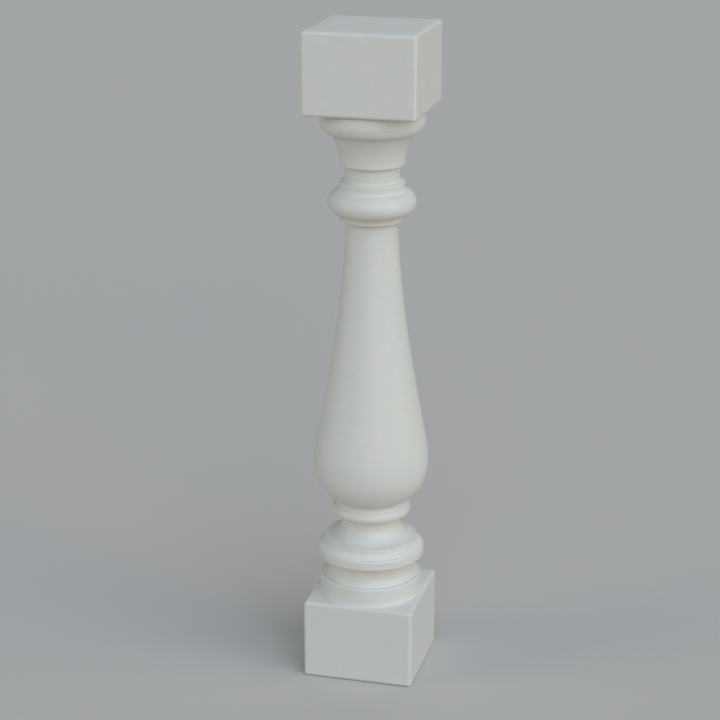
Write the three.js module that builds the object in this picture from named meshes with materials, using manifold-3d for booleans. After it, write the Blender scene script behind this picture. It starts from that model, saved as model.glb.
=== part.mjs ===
// A stone baluster for a balustrade: square base block, turned stem and square cap block, all one piece.
// Millimetres, +Z up. The origin is the centre of the underside.

import * as THREE from 'three';
import { RoundedBoxGeometry } from 'three/addons/geometries/RoundedBoxGeometry.js';
import { mergeVertices } from 'three/addons/utils/BufferGeometryUtils.js';
import Module from 'manifold-3d';

// Square blocks
const BASE_BLOCK_WIDTH = 122.2;
const BASE_BLOCK_HEIGHT = 89.2;
const CAP_BLOCK_WIDTH = 120.7;
const CAP_BLOCK_HEIGHT = 86.9;
const ARRIS_RADIUS = 2.7;

// Drum that stands on the base block
const DRUM_RADIUS = 56;
const DRUM_HEIGHT = 20;
const DRUM_COVE_REACH = 1.2;
const DRUM_COVE_RISE = 8;
const DRUM_EDGE_RADIUS = 2.2;

// Small riser, hollow and flat band over the drum
const LOWER_RISER_RADIUS = 50.2;
const LOWER_RISER_HEIGHT = 2.4;
const HOLLOW_RADIUS = 46.6;
const HOLLOW_HEIGHT = 20.3;
const HOLLOW_FLARE_RISE = 9.5;
const HOLLOW_TOP_RADIUS = 50.5;
const BAND_RADIUS = 58.6;
const BAND_HEIGHT = 11.6;
const BAND_EDGE_RADIUS = 2.2;

// Stepped shoulder over the band
const UPPER_RISER_RADIUS = 54.2;
const UPPER_RISER_HEIGHT = 2.7;
const SHOULDER_RADIUS = 50.6;
const SHOULDER_HEIGHT = 7.6;
const SMALL_EDGE_RADIUS = 0.9;

// Waist, and the ring between it and the vase. End angles are in degrees up from the widest level.
const WAIST_RADIUS = 31.7;
const WAIST_HEIGHT = 25.5;
const WAIST_FLARE_RISE = 19.5;
const RING_RADIUS = 43.4;
const RING_HEIGHT = 14;
const RING_END_ANGLE = 58;

// Vase. A spread is how far the outline moves outwards for each millimetre of height there.
const VASE_FOOT_RADIUS = 38.4;
const VASE_FOOT_HEIGHT = 14.9;
const VASE_FOOT_COVE_RISE = 4;
const VASE_UNDERSIDE_RISE = 9.3;
const BOWL_RADIUS = 51.5;
const BOWL_HEIGHT = 36.4;
const BOWL_SPREAD = 0.79;
const BELLY_RADIUS = 62.9;
const TAPER_HEIGHT = 267.5;
const NECK_RADIUS = 27.6;
const NECK_SPREAD = 0.036;

// Collar: a torus between two fillets
const LOWER_FILLET_RADIUS = 34.7;
const LOWER_FILLET_HEIGHT = 6.9;
const LOWER_FILLET_EDGE_RADIUS = 2;
const TORUS_RADIUS = 47;
const TORUS_HEIGHT = 26;
const TORUS_END_ANGLE = 68;
const UPPER_FILLET_RADIUS = 35.1;
const UPPER_FILLET_HEIGHT = 9.4;
const UPPER_FILLET_COVE_RISE = 4.2;
const UPPER_FILLET_EDGE_RADIUS = 1.3;

// Necking, bell and echinus under the cap block
const NECKING_RADIUS = 29.5;
const NECKING_HEIGHT = 17.4;
const NECKING_COVE_RADIUS = 2.6;
const BELL_FOOT_RADIUS = 34.7;
const BELL_FOOT_EDGE_RADIUS = 1.4;
const BELL_TOP_RADIUS = 46.4;
const BELL_TOP_SPREAD = 0.9;
const BELL_HEIGHT = 34.4;
const ECHINUS_RADIUS = 56.2;
const ECHINUS_HEIGHT = 23.6;
const ECHINUS_UNDER_RISE = 13.5;
const ECHINUS_TOP_RADIUS = 53.4;

// How full each swept curve is: the length of its handle as a share of the curve's height
const VASE_UNDERSIDE_FULLNESS = 0.45;
const BOWL_FULLNESS = 0.34;
const BELLY_FULLNESS = 0.104;
const NECK_FULLNESS = 0.5;
const BELL_FOOT_FULLNESS = 0.13;
const BELL_TOP_FULLNESS = 0.4;

// How far the turned stem runs into each block
const STEM_EMBED = 20;

// Fineness of the facets
const SIDES = 44;
const EDGE_STEPS = 1;
const ROUND_STEPS = 2;
const COVE_STEPS = 3;
const BOWL_STEPS = 5;
const FLARE_STEPS = 6;
const RING_STEPS = 8;
const LONG_STEPS = 11;
const SEAM_TOLERANCE = 1e-3;

const STONE_COLOUR = 0xd3d4cc;
const STONE_ROUGHNESS = 0.82;

function point(radius, height) {
  return new THREE.Vector2(radius, height);
}

// A place on an ellipse. Angles are in degrees, from the outward direction towards the top.
function ellipsePoint(centre, reach, rise, degrees) {
  const angle = THREE.MathUtils.degToRad(degrees);
  return point(centre.x + reach * Math.cos(angle), centre.y + rise * Math.sin(angle));
}

function arc(centre, reach, rise, from, to, steps) {
  const points = [];
  for (let step = 0; step <= steps; step += 1) {
    points.push(ellipsePoint(centre, reach, rise, from + ((to - from) * step) / steps));
  }
  return points;
}

// A cubic curve that leaves along its start handle and arrives along its end handle.
function sweep(start, startHandle, endHandle, end, steps) {
  return new THREE.CubicBezierCurve(start, startHandle, endHandle, end).getPoints(steps);
}

function roundedTopEdge(radius, top, edge, steps) {
  return arc(point(radius - edge, top - edge), edge, edge, 0, 90, steps);
}

function roundedUnderEdge(radius, bottom, edge, steps) {
  return arc(point(radius - edge, bottom + edge), edge, edge, -90, 0, steps);
}

// A hollow that spreads outwards to its foot, from a wall at the inner radius.
function flaredFoot(innerRadius, outerRadius, bottom, rise, steps) {
  return arc(point(outerRadius, bottom + rise), outerRadius - innerRadius, rise, 270, 180, steps);
}

// A small upright step with a rounded top edge.
function riser(radius) {
  return (bottom, top) => [
    point(radius, bottom),
    ...roundedTopEdge(radius, top, SMALL_EDGE_RADIUS, EDGE_STEPS),
  ];
}

function drum(bottom, top) {
  return [
    ...flaredFoot(DRUM_RADIUS, DRUM_RADIUS + DRUM_COVE_REACH, bottom, DRUM_COVE_RISE, ROUND_STEPS),
    ...roundedTopEdge(DRUM_RADIUS, top, DRUM_EDGE_RADIUS, EDGE_STEPS),
  ];
}

function hollow(bottom, top) {
  const narrowest = bottom + HOLLOW_FLARE_RISE;
  const foot = LOWER_RISER_RADIUS - SMALL_EDGE_RADIUS;
  const overhang = HOLLOW_TOP_RADIUS - HOLLOW_RADIUS;
  return [
    ...flaredFoot(HOLLOW_RADIUS, foot, bottom, HOLLOW_FLARE_RISE, COVE_STEPS).slice(1),
    ...arc(point(HOLLOW_TOP_RADIUS, narrowest), overhang, top - narrowest, 180, 90, ROUND_STEPS).slice(1),
  ];
}

function band(bottom, top) {
  return [
    ...roundedUnderEdge(BAND_RADIUS, bottom, BAND_EDGE_RADIUS, ROUND_STEPS),
    ...roundedTopEdge(BAND_RADIUS, top, BAND_EDGE_RADIUS, ROUND_STEPS),
  ];
}

function shoulder(bottom, top) {
  const foot = UPPER_RISER_RADIUS - SMALL_EDGE_RADIUS;
  const rise = top - SMALL_EDGE_RADIUS - bottom;
  return [
    ...flaredFoot(SHOULDER_RADIUS, foot, bottom, rise, COVE_STEPS).slice(1),
    point(SHOULDER_RADIUS - SMALL_EDGE_RADIUS, top),
  ];
}

function waist(bottom, top) {
  const foot = SHOULDER_RADIUS - SMALL_EDGE_RADIUS;
  return [
    ...flaredFoot(WAIST_RADIUS, foot, bottom, WAIST_FLARE_RISE, FLARE_STEPS).slice(1),
    point(WAIST_RADIUS, top),
  ];
}

// The half-round ring stops short of its top, where the vase's foot grows out of it.
function ring(bottom, top) {
  const half = (top - bottom) / 2;
  return arc(point(RING_RADIUS - half, bottom + half), half, half, -90, RING_END_ANGLE, RING_STEPS);
}

function vaseFoot(bottom, top) {
  const half = RING_HEIGHT / 2;
  const seat = ellipsePoint(point(RING_RADIUS - half, bottom - half), half, half, RING_END_ANGLE);
  const handle = VASE_UNDERSIDE_RISE * VASE_UNDERSIDE_FULLNESS;
  return [
    ...flaredFoot(VASE_FOOT_RADIUS, seat.x, seat.y, VASE_FOOT_COVE_RISE, ROUND_STEPS).slice(1),
    ...sweep(
      point(VASE_FOOT_RADIUS, top - VASE_UNDERSIDE_RISE),
      point(VASE_FOOT_RADIUS + handle, top - VASE_UNDERSIDE_RISE),
      point(BOWL_RADIUS - BOWL_SPREAD * handle, top - handle),
      point(BOWL_RADIUS, top),
      COVE_STEPS,
    ),
  ];
}

function bowl(bottom, top) {
  const handle = (top - bottom) * BOWL_FULLNESS;
  return sweep(
    point(BOWL_RADIUS, bottom),
    point(BOWL_RADIUS + BOWL_SPREAD * handle, bottom + handle),
    point(BELLY_RADIUS, top - handle),
    point(BELLY_RADIUS, top),
    BOWL_STEPS,
  ).slice(1);
}

function taper(bottom, top) {
  const bellyHandle = (top - bottom) * BELLY_FULLNESS;
  const neckHandle = (top - bottom) * NECK_FULLNESS;
  return sweep(
    point(BELLY_RADIUS, bottom),
    point(BELLY_RADIUS, bottom + bellyHandle),
    point(NECK_RADIUS + NECK_SPREAD * neckHandle, top - neckHandle),
    point(NECK_RADIUS, top),
    LONG_STEPS,
  ).slice(1);
}

function lowerFillet(bottom, top) {
  return [
    ...roundedUnderEdge(LOWER_FILLET_RADIUS, bottom, LOWER_FILLET_EDGE_RADIUS, ROUND_STEPS),
    point(LOWER_FILLET_RADIUS, top),
  ];
}

function torus(bottom, top) {
  const half = (top - bottom) / 2;
  const reach = TORUS_RADIUS - LOWER_FILLET_RADIUS;
  const centre = point(LOWER_FILLET_RADIUS, bottom + half);
  return arc(centre, reach, half, -90, TORUS_END_ANGLE, LONG_STEPS).slice(1);
}

// The upper fillet grows out of the torus in a hollow.
function upperFillet(bottom, top) {
  const half = TORUS_HEIGHT / 2;
  const reach = TORUS_RADIUS - LOWER_FILLET_RADIUS;
  const seat = ellipsePoint(point(LOWER_FILLET_RADIUS, bottom - half), reach, half, TORUS_END_ANGLE);
  return [
    ...flaredFoot(UPPER_FILLET_RADIUS, seat.x, seat.y, UPPER_FILLET_COVE_RISE, COVE_STEPS).slice(1),
    ...roundedTopEdge(UPPER_FILLET_RADIUS, top, UPPER_FILLET_EDGE_RADIUS, EDGE_STEPS),
  ];
}

function necking(bottom, top) {
  const foot = NECKING_RADIUS + NECKING_COVE_RADIUS;
  return [
    ...flaredFoot(NECKING_RADIUS, foot, bottom, NECKING_COVE_RADIUS, ROUND_STEPS),
    point(NECKING_RADIUS, top),
  ];
}

function bell(bottom, top) {
  const lip = bottom + BELL_FOOT_EDGE_RADIUS;
  const lipHandle = (top - lip) * BELL_FOOT_FULLNESS;
  const topHandle = (top - lip) * BELL_TOP_FULLNESS;
  return [
    ...roundedUnderEdge(BELL_FOOT_RADIUS, bottom, BELL_FOOT_EDGE_RADIUS, EDGE_STEPS),
    ...sweep(
      point(BELL_FOOT_RADIUS, lip),
      point(BELL_FOOT_RADIUS, lip + lipHandle),
      point(BELL_TOP_RADIUS - BELL_TOP_SPREAD * topHandle, top - topHandle),
      point(BELL_TOP_RADIUS, top),
      FLARE_STEPS,
    ).slice(1),
  ];
}

// The echinus swells out of the bell in a quarter round, and draws in a little up to the cap block.
function echinus(bottom, top) {
  const widest = bottom + ECHINUS_UNDER_RISE;
  const under = ECHINUS_RADIUS - BELL_TOP_RADIUS;
  const over = ECHINUS_RADIUS - ECHINUS_TOP_RADIUS;
  return [
    ...arc(point(BELL_TOP_RADIUS, widest), under, ECHINUS_UNDER_RISE, -90, 0, FLARE_STEPS).slice(1),
    ...arc(point(ECHINUS_TOP_RADIUS, widest), over, top - widest, 0, 90, COVE_STEPS).slice(1),
  ];
}

// The mouldings from the base block up to the cap block, each with its height.
const MOULDINGS = [
  [drum, DRUM_HEIGHT],
  [riser(LOWER_RISER_RADIUS), LOWER_RISER_HEIGHT],
  [hollow, HOLLOW_HEIGHT],
  [band, BAND_HEIGHT],
  [riser(UPPER_RISER_RADIUS), UPPER_RISER_HEIGHT],
  [shoulder, SHOULDER_HEIGHT],
  [waist, WAIST_HEIGHT],
  [ring, RING_HEIGHT],
  [vaseFoot, VASE_FOOT_HEIGHT],
  [bowl, BOWL_HEIGHT],
  [taper, TAPER_HEIGHT],
  [lowerFillet, LOWER_FILLET_HEIGHT],
  [torus, TORUS_HEIGHT],
  [upperFillet, UPPER_FILLET_HEIGHT],
  [necking, NECKING_HEIGHT],
  [bell, BELL_HEIGHT],
  [echinus, ECHINUS_HEIGHT],
];

const STEM_HEIGHT = MOULDINGS.reduce((sum, [, height]) => sum + height, 0);

// The turned stem, with a plain length at each end to bury in the blocks.
function stemGeometry() {
  let height = BASE_BLOCK_HEIGHT;
  const outline = [];
  for (const [moulding, rise] of MOULDINGS) {
    outline.push(...moulding(height, height + rise));
    height += rise;
  }
  const foot = BASE_BLOCK_HEIGHT - STEM_EMBED;
  const head = height + STEM_EMBED;
  const profile = [
    point(0, foot),
    point(outline[0].x, foot),
    ...outline,
    point(outline[outline.length - 1].x, head),
    point(0, head),
  ];
  return new THREE.LatheGeometry(profile, SIDES).rotateX(Math.PI / 2);
}

function blockGeometry(width, height, foot) {
  const block = new RoundedBoxGeometry(width, width, height, EDGE_STEPS, ARRIS_RADIUS);
  return block.translate(0, 0, foot + height / 2);
}

const wasm = await Module();
wasm.setup();

// A closed solid from a geometry's positions, with the seams closed and the flat triangles dropped.
function solid(geometry) {
  geometry.deleteAttribute('normal');
  geometry.deleteAttribute('uv');
  const merged = mergeVertices(geometry, SEAM_TOLERANCE);
  const corners = merged.index.array;
  const triangles = [];
  for (let i = 0; i < corners.length; i += 3) {
    const [a, b, c] = corners.slice(i, i + 3);
    if (a !== b && b !== c && c !== a) triangles.push(a, b, c);
  }
  return new wasm.Manifold(new wasm.Mesh({
    numProp: 3,
    vertProperties: new Float32Array(merged.attributes.position.array),
    triVerts: new Uint32Array(triangles),
  }));
}

function meshOf(joined, name, material) {
  const { vertProperties, triVerts } = joined.getMesh();
  const geometry = new THREE.BufferGeometry();
  geometry.setAttribute('position', new THREE.BufferAttribute(vertProperties, 3));
  geometry.setIndex(new THREE.BufferAttribute(triVerts, 1));
  geometry.computeVertexNormals();
  const mesh = new THREE.Mesh(geometry, material);
  mesh.name = name;
  return mesh;
}

function baluster() {
  const base = solid(blockGeometry(BASE_BLOCK_WIDTH, BASE_BLOCK_HEIGHT, 0));
  const cap = solid(blockGeometry(CAP_BLOCK_WIDTH, CAP_BLOCK_HEIGHT, BASE_BLOCK_HEIGHT + STEM_HEIGHT));
  const stem = solid(stemGeometry());
  const stone = new THREE.MeshStandardMaterial({
    name: 'pale_stone',
    color: STONE_COLOUR,
    roughness: STONE_ROUGHNESS,
    metalness: 0,
  });
  return meshOf(base.add(stem).add(cap), 'baluster', stone);
}

const part = new THREE.Group();
part.add(baluster());

export default part;
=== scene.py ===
import math

import bpy
import numpy as np
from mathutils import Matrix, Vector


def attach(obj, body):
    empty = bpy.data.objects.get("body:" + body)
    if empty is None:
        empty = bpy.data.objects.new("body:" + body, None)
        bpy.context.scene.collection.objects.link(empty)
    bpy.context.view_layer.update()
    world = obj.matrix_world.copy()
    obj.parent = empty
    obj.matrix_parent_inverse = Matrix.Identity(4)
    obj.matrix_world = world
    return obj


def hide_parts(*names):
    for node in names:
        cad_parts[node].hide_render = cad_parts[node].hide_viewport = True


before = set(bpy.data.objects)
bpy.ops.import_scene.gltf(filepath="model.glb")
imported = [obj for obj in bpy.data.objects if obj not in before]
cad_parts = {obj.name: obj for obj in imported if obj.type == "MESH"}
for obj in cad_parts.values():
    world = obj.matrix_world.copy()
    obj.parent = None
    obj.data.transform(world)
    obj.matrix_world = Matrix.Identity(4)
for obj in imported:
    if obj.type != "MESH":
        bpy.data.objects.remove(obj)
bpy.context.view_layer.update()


# The baluster
# One piece of pale, fine-grained stone: a square block at the foot and at the head, and between them a
# turned stem. It is one closed surface, stacked from levels that are squares with rounded corners. On
# the stem the corners take over and the levels are round. Sizes are in millimetres.
MM = 0.001
BASE_HALF_WIDTH, CAP_HALF_WIDTH = 61.1, 60.35
BASE_HEIGHT, CAP_HEIGHT = 89.2, 86.9
ARRIS = 3.5
SMALL_EDGE = 0.9

# Radii of the walls and of the widest parts, from the base block up.
DRUM, LOWER_RISER, HOLLOW, BAND = 56.0, 50.2, 46.6, 58.6
UPPER_RISER, SHOULDER, WAIST, RING = 54.2, 50.6, 31.7, 43.4
VASE_FOOT, BOWL_FOOT, BELLY, NECK = 38.4, 51.5, 62.9, 27.6
LOWER_FILLET, TORUS, UPPER_FILLET, NECKING = 34.7, 47.0, 35.1, 29.5
BELL_FOOT, BELL_TOP, ECHINUS = 34.7, 46.4, 55.9


def arc(centre, reach, rise, start, stop, rows):
    """An elliptical arc: radius = centre + reach cos a, height = centre + rise sin a, a in degrees."""
    angle = np.radians(np.linspace(start, stop, rows + 1))
    return np.stack([centre[0] + reach * np.cos(angle), centre[1] + rise * np.sin(angle)], axis=1)


def sweep(start, start_handle, end_handle, end, rows):
    """A cubic curve: (1-t)^3 start + 3t(1-t)^2 first handle + 3t^2(1-t) second handle + t^3 end."""
    t = np.linspace(0, 1, rows + 1)[:, None]
    a, b, c, d = (np.array(p, float) for p in (start, start_handle, end_handle, end))
    return (1 - t) ** 3 * a + 3 * t * (1 - t) ** 2 * b + 3 * t ** 2 * (1 - t) * c + t ** 3 * d


def top_edge(radius, top, edge):
    """A quarter round from the wall at that radius over to the level at that height."""
    return arc((radius - edge, top - edge), edge, edge, 0, 90, 5)


def under_edge(radius, bottom, edge):
    """A quarter round from the level at that height out to the wall at that radius."""
    return arc((radius - edge, bottom + edge), edge, edge, -90, 0, 5)


def cove(radius, spread, bottom, rise, rows):
    """A quarter hollow from the level at the bottom, spread out by that much, up into the wall."""
    return arc((radius + spread, bottom + rise), spread, rise, 270, 180, rows)


def soffit(radius, spread, top, rise, rows):
    """A quarter hollow from the wall out to the level over it."""
    return arc((radius + spread, top - rise), spread, rise, 180, 90, rows)


def drum(low, top):
    return [cove(DRUM, 1.2, low, 8.0, 8), top_edge(DRUM - 0.2, top, 2.2)]


def lower_riser(low, top):
    return [cove(LOWER_RISER, 3.0, low, 1.5, 5), top_edge(LOWER_RISER, top, SMALL_EDGE)[1:]]


def hollow(low, top):
    return [cove(HOLLOW, 2.6, low, 9.5, 12)[1:], soffit(HOLLOW, 3.9, top, 10.8, 12)[1:]]


def band(low, top):
    return [under_edge(BAND, low, 2.3), top_edge(BAND, top, 2.1)]


def upper_riser(low, top):
    return [cove(UPPER_RISER, 2.0, low, 1.7, 5), top_edge(UPPER_RISER, top, SMALL_EDGE)]


def shoulder(low, top):
    return [cove(SHOULDER, 2.9, low, 4.5, 6)[1:], top_edge(SHOULDER, top, SMALL_EDGE)]


def waist(low, top):
    return [cove(WAIST, 18.0, low, 19.5, 18)[1:], soffit(WAIST, 0.5, top, 0.5, 3)]


def ring(low, top):
    half = (top - low) / 2
    return [arc((RING - half, low + half), half, half, -90, 58, 20)]


def vase_foot(low, top):
    return [cove(VASE_FOOT, 1.7, low - 1.0, 4.0, 6)[1:],
            sweep((VASE_FOOT, top - 9.3), (42.6, top - 9.1), (48.0, top - 4.4), (BOWL_FOOT, top), 12)]


def bowl(low, top):
    reach = (top - low) * 0.34
    first = (BOWL_FOOT + 0.79 * reach, low + reach)
    return [sweep((BOWL_FOOT, low), first, (BELLY, top - reach), (BELLY, top), 20)[1:]]


def taper(low, top):
    return [sweep((BELLY, low), (BELLY, low + 27.7), (NECK + 4.8, top - 133.2), (NECK, top - 0.6), 64)[1:],
            soffit(NECK, 0.6, top, 0.6, 3)[1:]]


def lower_fillet(low, top):
    return [under_edge(LOWER_FILLET, low, 2.0), soffit(LOWER_FILLET, 0.5, top, 0.5, 3)]


def torus(low, top):
    half = (top - low) / 2
    return [arc((LOWER_FILLET, low + half), TORUS - LOWER_FILLET, half, -87, 68, 36)]


def upper_fillet(low, top):
    return [cove(UPPER_FILLET, 4.2, low - 0.95, 4.2, 7)[1:], top_edge(UPPER_FILLET, top, 1.3)]


def necking(low, top):
    return [cove(NECKING, 2.6, low, 2.6, 5), soffit(NECKING, 0.5, top, 0.5, 3)]


def bell(low, top):
    edge = 1.4
    lip, reach = low + edge, top - low - edge
    first, second = (BELL_FOOT, lip + 0.13 * reach), (BELL_TOP - 0.36 * reach, top - 0.4 * reach)
    return [under_edge(BELL_FOOT, low, edge),
            sweep((BELL_FOOT, lip), first, second, (BELL_TOP, top), 18)[1:]]


def echinus(low, top):
    under, shoulder_reach = 13.5, 2.5
    return [arc((BELL_TOP, low + under), ECHINUS - BELL_TOP, under, -87, 0, 16),
            arc((ECHINUS - shoulder_reach, low + under), shoulder_reach, top - low - under, 0, 86, 8)[1:]]


# The mouldings from the base block up to the cap block, each with its height.
MOULDINGS = [
    (drum, 20.0), (lower_riser, 2.4), (hollow, 20.3), (band, 11.6), (upper_riser, 2.7), (shoulder, 7.6),
    (waist, 25.5), (ring, 14.0), (vase_foot, 14.9), (bowl, 36.4), (taper, 267.5), (lower_fillet, 6.9),
    (torus, 26.0), (upper_fillet, 9.4), (necking, 17.4), (bell, 34.4), (echinus, 23.6),
]


def stem_outline(bottom):
    """The mouldings' outlines, one over the other, as rows of radius and height, and the last top."""
    tops = bottom + np.cumsum([rise for _, rise in MOULDINGS])
    pieces = [p for (shape, rise), top in zip(MOULDINGS, tops) for p in shape(top - rise, top)]
    return np.concatenate(pieces), tops[-1]


# How close the first and last row put into a long stretch sit to its ends.
GUARD = 0.22


def divided(rows, longest):
    """Rows put in where two are further apart than the longest stretch allowed.

    Such a stretch is cut at the shares GUARD/length, the even shares k/n, and 1 - GUARD/length.
    """
    shares = []
    for i, length in enumerate(np.hypot(*np.diff(rows[:, [0, -1]], axis=0).T)):
        shares.append([i])
        if length > longest:
            parts = math.ceil(length / longest)
            even = np.arange(1, parts) / parts
            shares.append(i + np.concatenate([[GUARD / length], even, [1 - GUARD / length]]))
    at = np.concatenate(shares + [[len(rows) - 1]])
    return np.stack([np.interp(at, np.arange(len(rows)), column) for column in rows.T], axis=1)


def block_levels(half_width, bottom, top, from_below, to_above):
    """One block's levels as rows of half width, corner radius and height.

    The arrises are quarter rounds of radius e: half width = flat + e cos a, corner = e cos a, and
    height = bottom + e - e sin a or top - e + e sin a.
    """
    flat = half_width - ARRIS
    angle = np.radians(np.linspace(0, 90, 6))
    side, lift = ARRIS * np.cos(angle), ARRIS * np.sin(angle)
    under = np.stack([flat + side, side, bottom + ARRIS - lift], axis=1)[::-1]
    over = np.stack([flat + side, side, top - ARRIS + lift], axis=1)
    return np.concatenate([from_below, under, over, to_above])


def between(first, last, shares):
    """Levels at those shares of the way from the first level to the last."""
    s = np.array(shares)[:, None]
    return (1 - s) * np.array(first) + s * np.array(last)


def baluster_levels():
    """All levels from underside to top, as rows of half width, corner radius and height."""
    base_flat, cap_flat = BASE_HALF_WIDTH - ARRIS, CAP_HALF_WIDTH - ARRIS
    outline, head = stem_outline(BASE_HEIGHT)
    stem = divided(outline, 4.5)
    stem = np.stack([stem[:, 0], stem[:, 0], stem[:, 1]], axis=1)
    top = head + CAP_HEIGHT
    bed = np.array([[s, 0.0, 0.0] for s in (0.08, 0.3, 0.55, 0.8)])
    sheet = between([base_flat, 0.0, BASE_HEIGHT], stem[0], (0.02, 0.3, 0.65))
    ceiling = between([stem[-1, 0], stem[-1, 1], head], [cap_flat, 0.0, head], (0.3, 0.65, 0.97))
    nothing = np.zeros((0, 3))
    base = block_levels(BASE_HALF_WIDTH, 0.0, BASE_HEIGHT, bed * base_flat, nothing)
    roof = (bed * cap_flat + [0, 0, top])[::-1]
    cap = block_levels(CAP_HALF_WIDTH, head, top, nothing, roof)
    return np.concatenate([divided(base, 12.0), sheet, stem, ceiling, divided(cap, 12.0)])


def directions(along_side, round_corner):
    """Angles of the columns: even steps along each side of a block and round each of its corners."""
    flat = BASE_HALF_WIDTH - ARRIS
    step = np.linspace(-flat, flat, along_side + 1)
    turn = np.radians(np.linspace(0, 90, round_corner + 1)[1:-1])
    side = np.arctan2(step, BASE_HALF_WIDTH)
    corner = np.arctan2(flat + ARRIS * np.sin(turn), flat + ARRIS * np.cos(turn))
    one = np.concatenate([side, corner])
    return np.concatenate([one + quarter * np.pi / 2 for quarter in range(4)])


def reach_of(level, angle):
    """Distance from the axis to a rounded square along an angle.

    On a side it is w / cos a. On a corner of radius c it is the far root m + sqrt(m^2 - 2 (w-c)^2 + c^2),
    m = (w-c)(cos a + sin a), with a folded into the eighth next to the side's middle.
    """
    width, corner = level[:, :1], level[:, 1:2]
    folded = np.abs((angle[None, :] + np.pi / 4) % (np.pi / 2) - np.pi / 4)
    inner = width - corner
    middle = inner * (np.cos(folded) + np.sin(folded))
    rounded = middle + np.sqrt(np.maximum(middle ** 2 - 2 * inner ** 2 + corner ** 2, 0))
    return np.where(width * np.tan(folded) <= inner + 1e-9, width / np.cos(folded), rounded)


def unevenness(place):
    """A hand-finished surface's slight unevenness, as shifts along x, y and z between -1 and 1.

    Each shift is the mean of 28 sines along fixed random directions, sin(2 pi d / length + start) times
    sqrt(length / 70), with lengths from 14 to 70 mm. The seed is fixed, so each run gives the same.
    """
    dice = np.random.default_rng(11)
    shortest, longest, many = 14, 70, 28
    way = dice.normal(size=(3, many, 3))
    way /= np.linalg.norm(way, axis=2)[..., None]
    length = np.geomspace(shortest, longest, many)
    start = dice.uniform(0, 2 * np.pi, (3, many))
    waves = np.sin(np.einsum("rcx,swx->rcsw", place, way * (2 * np.pi / length)[:, None]) + start)
    return (waves * np.sqrt(length / longest)).mean(axis=-1)


levels = baluster_levels()
angles = directions(40, 6)
reach = reach_of(levels, angles)
rows, columns = reach.shape
height = np.repeat(levels[:, 2:], columns, axis=1)
points = np.stack([reach * np.cos(angles), reach * np.sin(angles), height], axis=2)
# With this factor the surface moves in or out by about 0.03 mm (root mean square), and by 0.12 mm at
# most. The underside and the top stay flat: the shift is eased in over BED_EASE millimetres from each.
UNEVENNESS = 0.35
BED_EASE = 4.0
from_bed = np.clip(height / BED_EASE, 0, 1) * np.clip((levels[-1, 2] - height) / BED_EASE, 0, 1)
points += unevenness(points) * from_bed[..., None] * UNEVENNESS
across = np.arange(rows * columns).reshape(rows, columns)
following = np.roll(across, -1, axis=1)
quads = np.stack([across[:-1], following[:-1], following[1:], across[1:]], axis=2).reshape(-1, 4)
foot, head = rows * columns, rows * columns + 1
bottom_fan = np.stack([np.full(columns, foot), following[0], across[0]], axis=1)
top_fan = np.stack([np.full(columns, head), across[-1], following[-1]], axis=1)
vertices = np.concatenate([points.reshape(-1, 3), [[0, 0, 0], [0, 0, levels[-1, 2]]]]) * MM
mesh = bpy.data.meshes.new("stone_baluster")
mesh.from_pydata(vertices.tolist(), [], quads.tolist() + bottom_fan.tolist() + top_fan.tolist())
mesh.polygons.foreach_set("use_smooth", np.ones(len(mesh.polygons), bool))
mesh.update()


def corner_share(level, near_by, side):
    """How far each level lies in a corner, 0 to 1: under an overhang for side 1, on a ledge for side -1.

    It is the outline's hollow turning near the level, times how far the stone near it faces down, or up.
    Both are weighted over the levels by exp(-(distance / near_by)^2). The first counts as whole from
    full_turn radians on, and the second from a slope of full_slope on.
    """
    full_turn, full_slope = 0.7, 0.5
    way = np.diff(level[:, [0, 2]], axis=0)
    heading = np.unwrap(np.arctan2(way[:, 1], way[:, 0]))
    turning = np.concatenate([[0], np.diff(heading), [0]])
    along = np.concatenate([[0], np.cumsum(np.hypot(*way.T))])
    near = np.exp(-((along[:, None] - along[None, :]) / near_by) ** 2)
    outward = np.append(way[:, 0], 0)
    length = np.append(np.hypot(*way.T), 0)
    facing_down = (near @ outward) / (near @ length)
    hollow_near = np.clip(near @ np.maximum(-turning, 0) / full_turn, 0, 1)
    return hollow_near * np.clip(side * facing_down / full_slope, 0, 1)


def base_share(level):
    """How far each level belongs to the base block, from 0 on the stem and the cap to 1 on the base."""
    return np.clip((BASE_HEIGHT + 1 - level[:, 2]) / 2, 0, 1)


def keep_share(name, values):
    """Stores one number per level on the mesh, for the material to read."""
    layer = mesh.attributes.new(name, "FLOAT", "POINT")
    each = np.concatenate([np.repeat(values, columns), values[[0, -1]]])
    layer.data.foreach_set("value", each.astype(np.float32))


# Painted shade: the hollow corners under overhangs are darkened as shade would darken them, with a little
# warm dust mixed in.
keep_share("shade_and_dust", corner_share(levels, 5.0, 1))
# Painted light: the ledges next to hollow corners are made paler, standing in for bounce light.
keep_share("painted_ledge_light", corner_share(levels, 2.0, -1))
keep_share("low_down", base_share(levels))
baluster = bpy.data.objects.new("stone_baluster", mesh)
bpy.context.scene.collection.objects.link(baluster)


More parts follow.
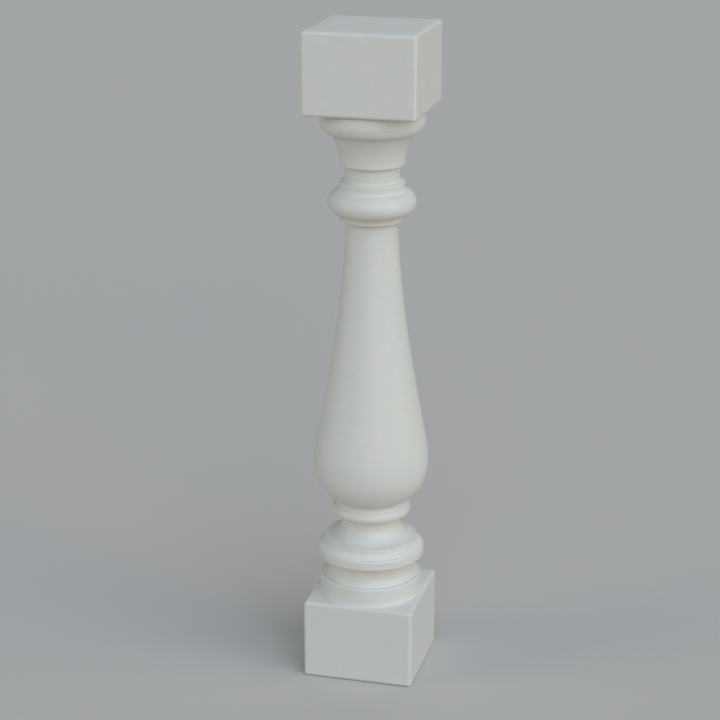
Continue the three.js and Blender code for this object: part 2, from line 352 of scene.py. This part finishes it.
class Wire:
    """A socket of a material's nodes. A sign used on it, such as 1 - wire, adds one Math node."""

    def __init__(self, socket):
        self.socket = socket
        self.tree = socket.id_data

    def new(self, kind, settings=(), values=(), out=0):
        """Adds a node of that kind: its settings are set first, then its sockets are filled or linked."""
        made = self.tree.nodes.new(kind)
        for name, value in dict(settings).items():
            setattr(made, name, value)
        for name, value in dict(values).items():
            if isinstance(value, Wire):
                self.tree.links.new(value.socket, made.inputs[name])
            else:
                made.inputs[name].default_value = value
        return Wire(made.outputs[out])

    def maths(self, operation, first, second):
        return self.new("ShaderNodeMath", {"operation": operation}, {0: first, 1: second})

    def __add__(self, other):
        return self.maths("ADD", self, other)

    def __sub__(self, other):
        return self.maths("SUBTRACT", self, other)

    def __rsub__(self, other):
        return self.maths("SUBTRACT", other, self)

    def __mul__(self, other):
        return self.maths("MULTIPLY", self, other)

    __radd__ = __add__
    __rmul__ = __mul__

    def spread(self, low, high):
        """The share of the way from low to high, smoothed at both ends."""
        return self.new("ShaderNodeMapRange", {"interpolation_type": "SMOOTHSTEP"},
                        {0: self, 1: low, 2: high})

    def tinted(self, colour, share):
        """This colour moved towards another by that share."""
        return self.new("ShaderNodeMix", {"data_type": "RGBA"}, {0: share, 6: self, 7: colour}, 2)

    def noise(self, size, detail, roughness=0.5):
        """Cloud noise of that size in metres, read at this place."""
        return self.new("ShaderNodeTexNoise", {"noise_dimensions": "3D"},
                        {"Vector": self, "Scale": 1 / size, "Detail": detail, "Roughness": roughness})


STONE = (0.643, 0.658, 0.627, 1)
STONE_WARM = (0.649, 0.652, 0.603, 1)
STONE_PALE = (0.684, 0.702, 0.676, 1)
# Painted light for the ledges next to hollows.
PAINTED_LEDGE_LIGHT = (0.770, 0.775, 0.735, 1)
STONE_GREY = (0.571, 0.592, 0.580, 1)
# Painted shade for the corners under overhangs, warm like dust.
SHADE_AND_DUST = (0.470, 0.458, 0.390, 1)
PORE = (0.400, 0.395, 0.350, 1)

# Sizes in the stone, in metres.
CLOUDS, MOTTLE, GRAIN = 0.055, 0.009, 0.0011
PORE_SPACING, PORE_PATCHES = 0.0075, 0.02


def stone_material():
    """Pale fine-grained stone: clouds of tint, a sandy grain, a few pin holes.

    Its ledges next to hollows are made paler with painted bounce light, the corners under overhangs are
    darkened with painted shade mixed with a little warm dust, and the base block is greyer.
    """
    material = bpy.data.materials.new("pale_stone")
    material.use_nodes = True
    tree = material.node_tree
    tree.nodes.clear()
    shader = tree.nodes.new("ShaderNodeBsdfPrincipled")
    output = tree.nodes.new("ShaderNodeOutputMaterial")
    tree.links.new(shader.outputs[0], output.inputs[0])
    place = Wire(tree.nodes.new("ShaderNodeTexCoord").outputs["Object"])
    shade_and_dust = place.new("ShaderNodeAttribute", {"attribute_name": "shade_and_dust"}, out="Fac")
    painted_ledge_light = place.new("ShaderNodeAttribute", {"attribute_name": "painted_ledge_light"}, out="Fac")
    low_down = place.new("ShaderNodeAttribute", {"attribute_name": "low_down"}, out="Fac")

    clouds = place.noise(CLOUDS, 3.0, 0.55)
    mottle = place.noise(MOTTLE, 3.0, 0.6)
    grain = place.noise(GRAIN, 2.0, 0.7)
    cells = place.new("ShaderNodeTexVoronoi", {"feature": "F1"},
                      {"Vector": place, "Scale": 1 / PORE_SPACING}, "Distance")
    scatter = place.noise(PORE_PATCHES, 1.0)
    pores = (1 - cells.spread(0.03, 0.085)) * scatter.spread(0.48, 0.62)

    colour = place.new("ShaderNodeMix", {"data_type": "RGBA"},
                       {0: clouds.spread(0.35, 0.68) * 0.6, 6: STONE, 7: STONE_WARM}, 2)
    colour = colour.tinted(STONE_PALE, mottle.spread(0.42, 0.75) * 0.4)
    colour = colour.tinted(STONE_GREY, low_down * 0.5)
    # Painted bounce light on the ledges next to hollows.
    colour = colour.tinted(PAINTED_LEDGE_LIGHT, painted_ledge_light * 0.4)
    # Painted shade in the corners under overhangs, mottled like dust.
    colour = colour.tinted(SHADE_AND_DUST, shade_and_dust * (0.35 + 0.65 * mottle.spread(0.3, 0.7)) * 0.2)
    colour = colour.tinted(PORE, pores * 0.55 + grain.spread(0.58, 0.72) * 0.05)
    tree.links.new(colour.socket, shader.inputs["Base Color"])
    rough = 0.42 + 0.08 * mottle + 0.1 * pores
    tree.links.new(rough.socket, shader.inputs["Roughness"])
    height = 0.55 * grain + 0.45 * mottle - 1.6 * pores
    bump = place.new("ShaderNodeBump", {}, {"Strength": 0.35, "Distance": 0.00018, "Height": height})
    tree.links.new(bump.socket, shader.inputs["Normal"])
    shader.inputs["Specular IOR Level"].default_value = 0.5
    shader.inputs["Subsurface Weight"].default_value = 0.25
    shader.inputs["Subsurface Radius"].default_value = (1.0, 0.95, 0.8)
    shader.inputs["Subsurface Scale"].default_value = 0.004
    return material


mesh.materials.append(stone_material())
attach(baluster, "root")
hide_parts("baluster")


# The floor
# A plain pale sheet for the part to stand on, level and matt. It isn't part of the object.
FLOOR_HALF = 14.0
FLOOR_DROP = 0.0002
floor_mesh = bpy.data.meshes.new("floor")
floor_signs = ((-1, -1), (1, -1), (1, 1), (-1, 1))
floor_corners = [(x * FLOOR_HALF, y * FLOOR_HALF, -FLOOR_DROP) for x, y in floor_signs]
floor_mesh.from_pydata(floor_corners, [], [(0, 1, 2, 3)])
floor = bpy.data.objects.new("floor", floor_mesh)
bpy.context.scene.collection.objects.link(floor)
floor_material = bpy.data.materials.new("pale_floor")
floor_material.use_nodes = True
floor_shader = floor_material.node_tree.nodes["Principled BSDF"]
floor_shader.inputs["Base Color"].default_value = (0.56, 0.545, 0.525, 1)
floor_shader.inputs["Roughness"].default_value = 0.9
floor_mesh.materials.append(floor_material)


# The light
# Soft studio light: an even surround, and broad soft lights from several sides, so far off that the
# floor is lit evenly. The bearings count from the front of the part.
def soft_light(name, azimuth, elevation, breadth, strength, colour):
    """A broad light from that bearing and height, as many degrees across as its breadth."""
    lamp = bpy.data.lights.new(name, "SUN")
    lamp.angle, lamp.energy, lamp.color = math.radians(breadth), strength, colour
    light = bpy.data.objects.new(name, lamp)
    a, e = math.radians(azimuth), math.radians(elevation)
    away = Vector((math.sin(a) * math.cos(e), -math.cos(a) * math.cos(e), math.sin(e)))
    light.location = away * 3
    light.rotation_mode = "QUATERNION"
    light.rotation_quaternion = away.to_track_quat("Z", "Y")
    bpy.context.scene.collection.objects.link(light)


world = bpy.data.worlds.new("surround")
world.use_nodes = True
surround = world.node_tree.nodes["Background"]
surround.inputs["Color"].default_value = (0.95, 1.0, 0.94, 1)
surround.inputs["Strength"].default_value = 0.205
bpy.context.scene.world = world
soft_light("front_light", 30, 45, 50, 1.0, (0.42, 0.66, 1.0))
soft_light("high_light", 75, 45, 50, 0.66, (1.0, 0.88, 0.88))
soft_light("right_light", 75, 15, 28, 0.57, (0.93, 1.0, 0.80))
soft_light("left_light", -60, 15, 28, 0.68, (1.0, 0.975, 0.89))
soft_light("low_light", 30, 15, 28, 0.69, (1.0, 0.80, 0.62))
soft_light("back_light", 180, 30, 50, 0.28, (0.91, 0.955, 1.0))


# The camera
# It looks down a little on the part from in front and to the right, through a long lens.
camera = bpy.data.cameras.new("camera")
camera.sensor_width = 36
camera.lens = 96.88
viewer = bpy.data.objects.new("camera", camera)
viewer.location = (0.4866, -1.9289, 1.0101)
viewer.rotation_euler = (math.radians(90 - 18.205), math.radians(-0.08), math.radians(14.542))
bpy.context.scene.collection.objects.link(viewer)
bpy.context.scene.camera = viewer
bpy.context.scene.view_settings.view_transform = "Standard"
